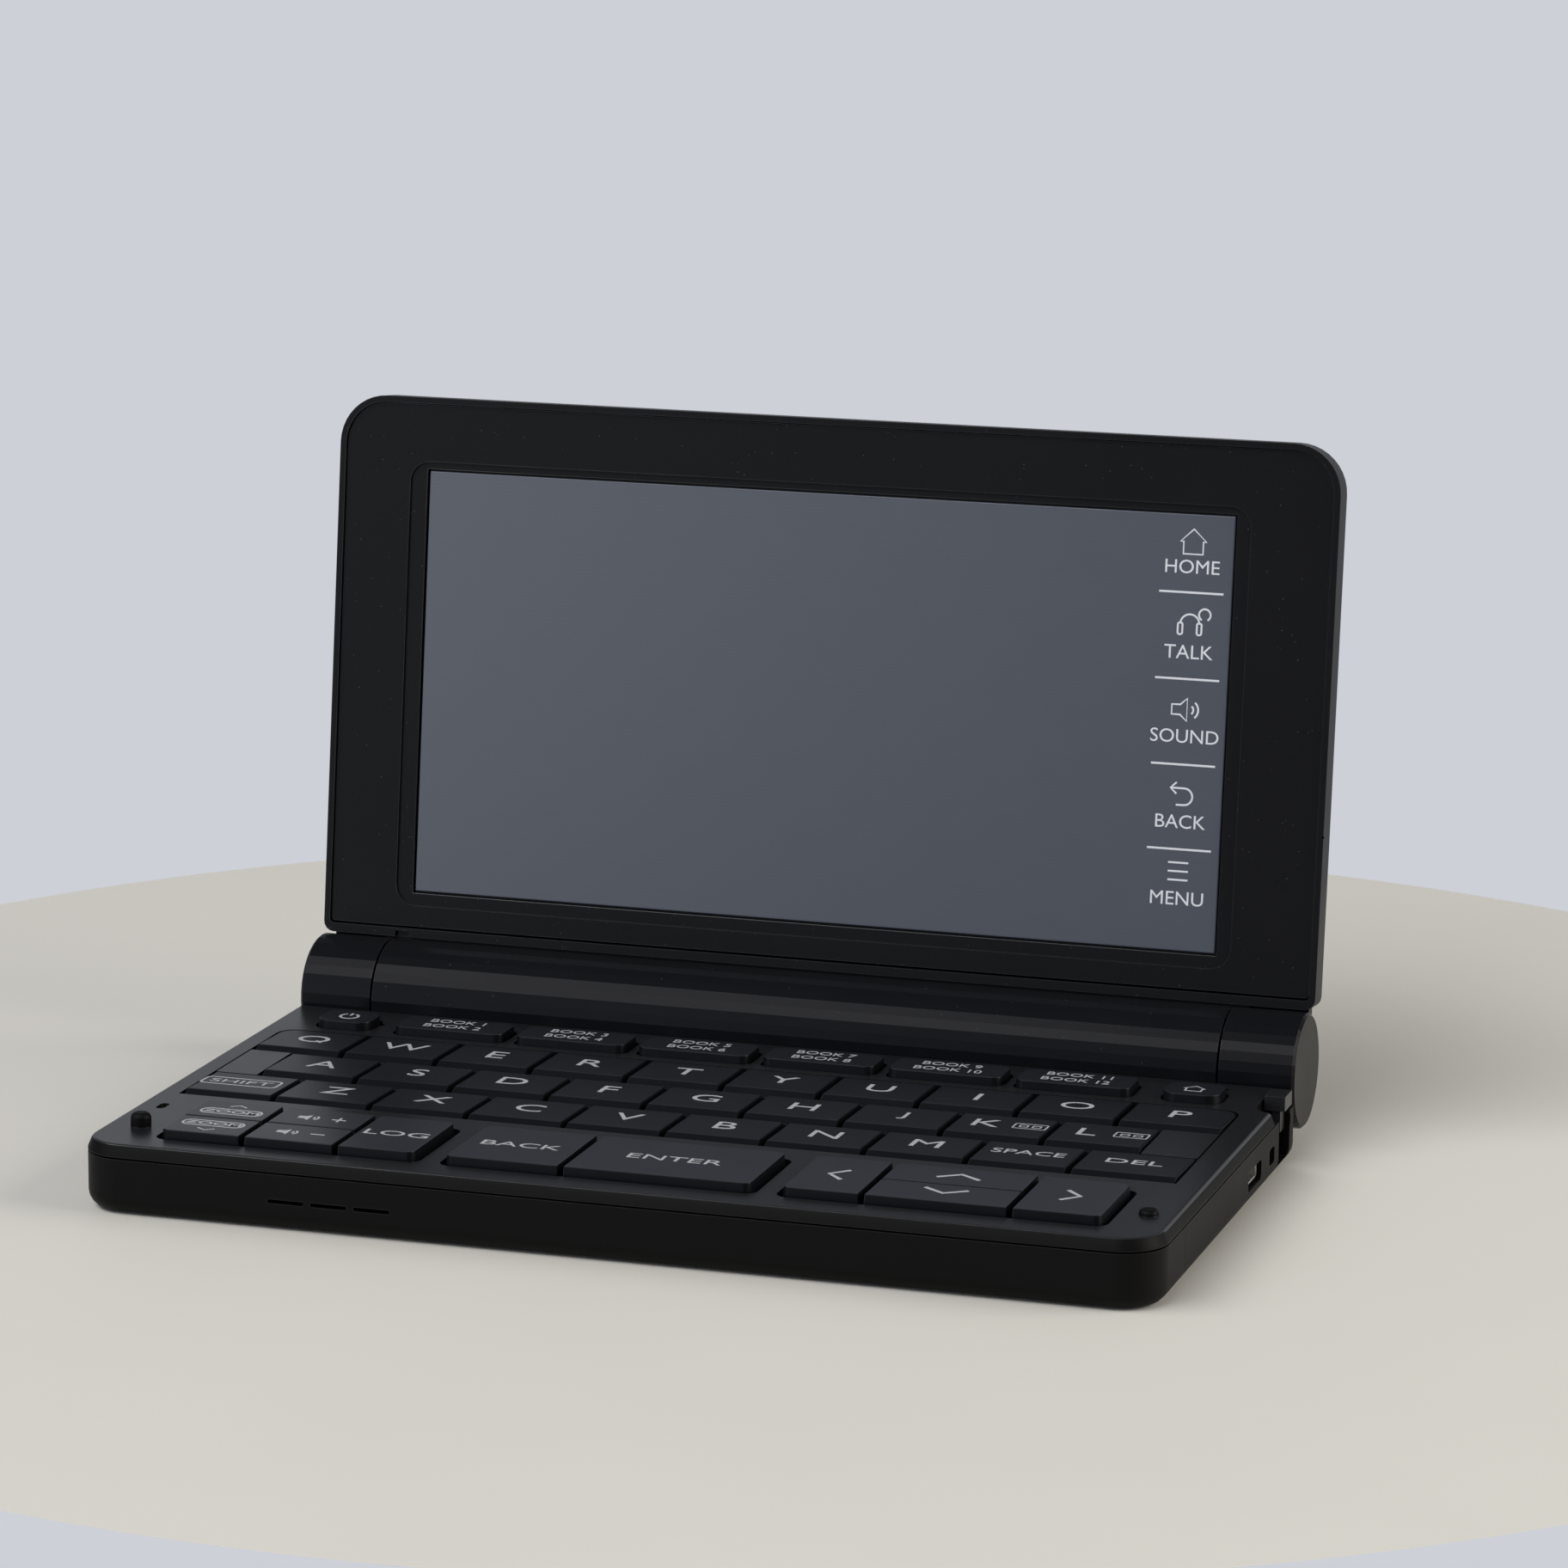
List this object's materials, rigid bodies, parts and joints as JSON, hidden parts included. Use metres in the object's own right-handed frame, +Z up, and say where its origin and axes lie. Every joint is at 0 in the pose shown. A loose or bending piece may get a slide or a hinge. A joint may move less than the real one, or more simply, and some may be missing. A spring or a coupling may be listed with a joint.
{
  "type": "electronic dictionary",
  "caption": "Clamshell electronic dictionary: flat keyboard base, battery barrel along the rear edge and a hinged lid with a wide touch screen, shown open.",
  "frame": {"origin": "on the resting plane, on the centre line, midway between the front of the base and the back of the battery barrel", "axes": "+X to the user's right along the hinge, +Y to the rear, +Z up from the resting plane"},
  "size_m": [0.148, 0.1039, 0.0963],
  "materials": {
    "case_plastic": "fine-grained matt",
    "deck_plastic": "satin",
    "key_plastic": "satin, white legends",
    "knuckle_plastic": "satin",
    "screen": "glossy",
    "mat_rubber": "matt",
    "board_laminate": "lacquered laminate",
    "speaker_plastic": "matt",
    "cell_shell": "printed sleeve over a metal can"
  },
  "bodies": {
    "base": {"lower_case": "case_plastic", "keyboard_deck": "deck_plastic", "key_mat": "mat_rubber", "circuit_board": "board_laminate", "speaker": "speaker_plastic", "battery_barrel": "deck_plastic", "battery_1": "cell_shell", "battery_2": "cell_shell"},
    "lid": {"lid_back_cover": "deck_plastic", "lid_bezel": "deck_plastic", "display_panel": "screen", "left_knuckle": "knuckle_plastic", "right_knuckle": "knuckle_plastic"},
    "battery_cover": {"battery_cover": "deck_plastic"},
    "stylus": {"stylus": "deck_plastic"},
    "key_power": {"key_power": "key_plastic"},
    "key_function_1": {"key_function_1": "key_plastic"},
    "key_function_2": {"key_function_2": "key_plastic"},
    "key_function_3": {"key_function_3": "key_plastic"},
    "key_function_4": {"key_function_4": "key_plastic"},
    "key_function_5": {"key_function_5": "key_plastic"},
    "key_function_6": {"key_function_6": "key_plastic"},
    "key_home": {"key_home": "key_plastic"},
    "key_q": {"key_q": "key_plastic"},
    "key_w": {"key_w": "key_plastic"},
    "key_e": {"key_e": "key_plastic"},
    "key_r": {"key_r": "key_plastic"},
    "key_t": {"key_t": "key_plastic"},
    "key_y": {"key_y": "key_plastic"},
    "key_u": {"key_u": "key_plastic"},
    "key_i": {"key_i": "key_plastic"},
    "key_o": {"key_o": "key_plastic"},
    "key_p": {"key_p": "key_plastic"},
    "key_a": {"key_a": "key_plastic"},
    "key_s": {"key_s": "key_plastic"},
    "key_d": {"key_d": "key_plastic"},
    "key_f": {"key_f": "key_plastic"},
    "key_g": {"key_g": "key_plastic"},
    "key_h": {"key_h": "key_plastic"},
    "key_j": {"key_j": "key_plastic"},
    "key_k": {"key_k": "key_plastic"},
    "key_l": {"key_l": "key_plastic"},
    "key_shift": {"key_shift": "key_plastic"},
    "key_z": {"key_z": "key_plastic"},
    "key_x": {"key_x": "key_plastic"},
    "key_c": {"key_c": "key_plastic"},
    "key_v": {"key_v": "key_plastic"},
    "key_b": {"key_b": "key_plastic"},
    "key_n": {"key_n": "key_plastic"},
    "key_m": {"key_m": "key_plastic"},
    "key_space": {"key_space": "key_plastic"},
    "key_delete": {"key_delete": "key_plastic"},
    "key_zoom": {"key_zoom": "key_plastic"},
    "key_volume": {"key_volume": "key_plastic"},
    "key_history": {"key_history": "key_plastic"},
    "key_back": {"key_back": "key_plastic"},
    "key_enter": {"key_enter": "key_plastic"},
    "key_left": {"key_left": "key_plastic"},
    "key_up_down": {"key_up_down": "key_plastic"},
    "key_right": {"key_right": "key_plastic"}
  },
  "joints": [
    {"name": "lid_hinge", "type": "hinge", "parent": "base", "child": "lid", "pos_m": [0, 0.03945, 0.01025], "axis": [-1, 0, 0], "range_deg": [-96.75, 43.25]},
    {"name": "battery_cover_slide", "type": "slide", "parent": "base", "child": "battery_cover", "axis": [0, -1, 0], "range_m": [-0.012, 0]},
    {"name": "stylus_slide", "type": "slide", "parent": "base", "child": "stylus", "axis": [1, 0, 0], "range_m": [0, 0.085]},
    {"name": "power_press", "type": "slide", "parent": "base", "child": "key_power", "axis": [0, 0, -1], "range_m": [0, 0.0006], "stiffness_N_per_m": 1000, "springref_m": -0.0002},
    {"name": "function_1_press", "type": "slide", "parent": "base", "child": "key_function_1", "axis": [0, 0, -1], "range_m": [0, 0.0006], "stiffness_N_per_m": 1000, "springref_m": -0.0002},
    {"name": "function_2_press", "type": "slide", "parent": "base", "child": "key_function_2", "axis": [0, 0, -1], "range_m": [0, 0.0006], "stiffness_N_per_m": 1000, "springref_m": -0.0002},
    {"name": "function_3_press", "type": "slide", "parent": "base", "child": "key_function_3", "axis": [0, 0, -1], "range_m": [0, 0.0006], "stiffness_N_per_m": 1000, "springref_m": -0.0002},
    {"name": "function_4_press", "type": "slide", "parent": "base", "child": "key_function_4", "axis": [0, 0, -1], "range_m": [0, 0.0006], "stiffness_N_per_m": 1000, "springref_m": -0.0002},
    {"name": "function_5_press", "type": "slide", "parent": "base", "child": "key_function_5", "axis": [0, 0, -1], "range_m": [0, 0.0006], "stiffness_N_per_m": 1000, "springref_m": -0.0002},
    {"name": "function_6_press", "type": "slide", "parent": "base", "child": "key_function_6", "axis": [0, 0, -1], "range_m": [0, 0.0006], "stiffness_N_per_m": 1000, "springref_m": -0.0002},
    {"name": "home_press", "type": "slide", "parent": "base", "child": "key_home", "axis": [0, 0, -1], "range_m": [0, 0.0006], "stiffness_N_per_m": 1000, "springref_m": -0.0002},
    {"name": "q_press", "type": "slide", "parent": "base", "child": "key_q", "axis": [0, 0, -1], "range_m": [0, 0.0006], "stiffness_N_per_m": 1000, "springref_m": -0.0002},
    {"name": "w_press", "type": "slide", "parent": "base", "child": "key_w", "axis": [0, 0, -1], "range_m": [0, 0.0006], "stiffness_N_per_m": 1000, "springref_m": -0.0002},
    {"name": "e_press", "type": "slide", "parent": "base", "child": "key_e", "axis": [0, 0, -1], "range_m": [0, 0.0006], "stiffness_N_per_m": 1000, "springref_m": -0.0002},
    {"name": "r_press", "type": "slide", "parent": "base", "child": "key_r", "axis": [0, 0, -1], "range_m": [0, 0.0006], "stiffness_N_per_m": 1000, "springref_m": -0.0002},
    {"name": "t_press", "type": "slide", "parent": "base", "child": "key_t", "axis": [0, 0, -1], "range_m": [0, 0.0006], "stiffness_N_per_m": 1000, "springref_m": -0.0002},
    {"name": "y_press", "type": "slide", "parent": "base", "child": "key_y", "axis": [0, 0, -1], "range_m": [0, 0.0006], "stiffness_N_per_m": 1000, "springref_m": -0.0002},
    {"name": "u_press", "type": "slide", "parent": "base", "child": "key_u", "axis": [0, 0, -1], "range_m": [0, 0.0006], "stiffness_N_per_m": 1000, "springref_m": -0.0002},
    {"name": "i_press", "type": "slide", "parent": "base", "child": "key_i", "axis": [0, 0, -1], "range_m": [0, 0.0006], "stiffness_N_per_m": 1000, "springref_m": -0.0002},
    {"name": "o_press", "type": "slide", "parent": "base", "child": "key_o", "axis": [0, 0, -1], "range_m": [0, 0.0006], "stiffness_N_per_m": 1000, "springref_m": -0.0002},
    {"name": "p_press", "type": "slide", "parent": "base", "child": "key_p", "axis": [0, 0, -1], "range_m": [0, 0.0006], "stiffness_N_per_m": 1000, "springref_m": -0.0002},
    {"name": "a_press", "type": "slide", "parent": "base", "child": "key_a", "axis": [0, 0, -1], "range_m": [0, 0.0006], "stiffness_N_per_m": 1000, "springref_m": -0.0002},
    {"name": "s_press", "type": "slide", "parent": "base", "child": "key_s", "axis": [0, 0, -1], "range_m": [0, 0.0006], "stiffness_N_per_m": 1000, "springref_m": -0.0002},
    {"name": "d_press", "type": "slide", "parent": "base", "child": "key_d", "axis": [0, 0, -1], "range_m": [0, 0.0006], "stiffness_N_per_m": 1000, "springref_m": -0.0002},
    {"name": "f_press", "type": "slide", "parent": "base", "child": "key_f", "axis": [0, 0, -1], "range_m": [0, 0.0006], "stiffness_N_per_m": 1000, "springref_m": -0.0002},
    {"name": "g_press", "type": "slide", "parent": "base", "child": "key_g", "axis": [0, 0, -1], "range_m": [0, 0.0006], "stiffness_N_per_m": 1000, "springref_m": -0.0002},
    {"name": "h_press", "type": "slide", "parent": "base", "child": "key_h", "axis": [0, 0, -1], "range_m": [0, 0.0006], "stiffness_N_per_m": 1000, "springref_m": -0.0002},
    {"name": "j_press", "type": "slide", "parent": "base", "child": "key_j", "axis": [0, 0, -1], "range_m": [0, 0.0006], "stiffness_N_per_m": 1000, "springref_m": -0.0002},
    {"name": "k_press", "type": "slide", "parent": "base", "child": "key_k", "axis": [0, 0, -1], "range_m": [0, 0.0006], "stiffness_N_per_m": 1000, "springref_m": -0.0002},
    {"name": "l_press", "type": "slide", "parent": "base", "child": "key_l", "axis": [0, 0, -1], "range_m": [0, 0.0006], "stiffness_N_per_m": 1000, "springref_m": -0.0002},
    {"name": "shift_press", "type": "slide", "parent": "base", "child": "key_shift", "axis": [0, 0, -1], "range_m": [0, 0.0006], "stiffness_N_per_m": 1000, "springref_m": -0.0002},
    {"name": "z_press", "type": "slide", "parent": "base", "child": "key_z", "axis": [0, 0, -1], "range_m": [0, 0.0006], "stiffness_N_per_m": 1000, "springref_m": -0.0002},
    {"name": "x_press", "type": "slide", "parent": "base", "child": "key_x", "axis": [0, 0, -1], "range_m": [0, 0.0006], "stiffness_N_per_m": 1000, "springref_m": -0.0002},
    {"name": "c_press", "type": "slide", "parent": "base", "child": "key_c", "axis": [0, 0, -1], "range_m": [0, 0.0006], "stiffness_N_per_m": 1000, "springref_m": -0.0002},
    {"name": "v_press", "type": "slide", "parent": "base", "child": "key_v", "axis": [0, 0, -1], "range_m": [0, 0.0006], "stiffness_N_per_m": 1000, "springref_m": -0.0002},
    {"name": "b_press", "type": "slide", "parent": "base", "child": "key_b", "axis": [0, 0, -1], "range_m": [0, 0.0006], "stiffness_N_per_m": 1000, "springref_m": -0.0002},
    {"name": "n_press", "type": "slide", "parent": "base", "child": "key_n", "axis": [0, 0, -1], "range_m": [0, 0.0006], "stiffness_N_per_m": 1000, "springref_m": -0.0002},
    {"name": "m_press", "type": "slide", "parent": "base", "child": "key_m", "axis": [0, 0, -1], "range_m": [0, 0.0006], "stiffness_N_per_m": 1000, "springref_m": -0.0002},
    {"name": "space_press", "type": "slide", "parent": "base", "child": "key_space", "axis": [0, 0, -1], "range_m": [0, 0.0006], "stiffness_N_per_m": 1000, "springref_m": -0.0002},
    {"name": "delete_press", "type": "slide", "parent": "base", "child": "key_delete", "axis": [0, 0, -1], "range_m": [0, 0.0006], "stiffness_N_per_m": 1000, "springref_m": -0.0002},
    {"name": "zoom_rock", "type": "hinge", "parent": "base", "child": "key_zoom", "pos_m": [-0.05828, -0.03395, 0.0086], "axis": [1, 0, 0], "range_deg": [-3, 3], "stiffness_Nm_per_rad": 0.08},
    {"name": "volume_rock", "type": "hinge", "parent": "base", "child": "key_volume", "pos_m": [-0.04565, -0.03395, 0.0086], "axis": [1, 0, 0], "range_deg": [-3, 3], "stiffness_Nm_per_rad": 0.08},
    {"name": "history_press", "type": "slide", "parent": "base", "child": "key_history", "axis": [0, 0, -1], "range_m": [0, 0.0006], "stiffness_N_per_m": 1000, "springref_m": -0.0002},
    {"name": "back_press", "type": "slide", "parent": "base", "child": "key_back", "axis": [0, 0, -1], "range_m": [0, 0.0006], "stiffness_N_per_m": 1000, "springref_m": -0.0002},
    {"name": "enter_press", "type": "slide", "parent": "base", "child": "key_enter", "axis": [0, 0, -1], "range_m": [0, 0.0006], "stiffness_N_per_m": 1000, "springref_m": -0.0002},
    {"name": "left_press", "type": "slide", "parent": "base", "child": "key_left", "axis": [0, 0, -1], "range_m": [0, 0.0006], "stiffness_N_per_m": 1000, "springref_m": -0.0002},
    {"name": "up_down_rock", "type": "hinge", "parent": "base", "child": "key_up_down", "pos_m": [0.04325, -0.03395, 0.0086], "axis": [1, 0, 0], "range_deg": [-3, 3], "stiffness_Nm_per_rad": 0.08},
    {"name": "right_press", "type": "slide", "parent": "base", "child": "key_right", "axis": [0, 0, -1], "range_m": [0, 0.0006], "stiffness_N_per_m": 1000, "springref_m": -0.0002}
  ]
}
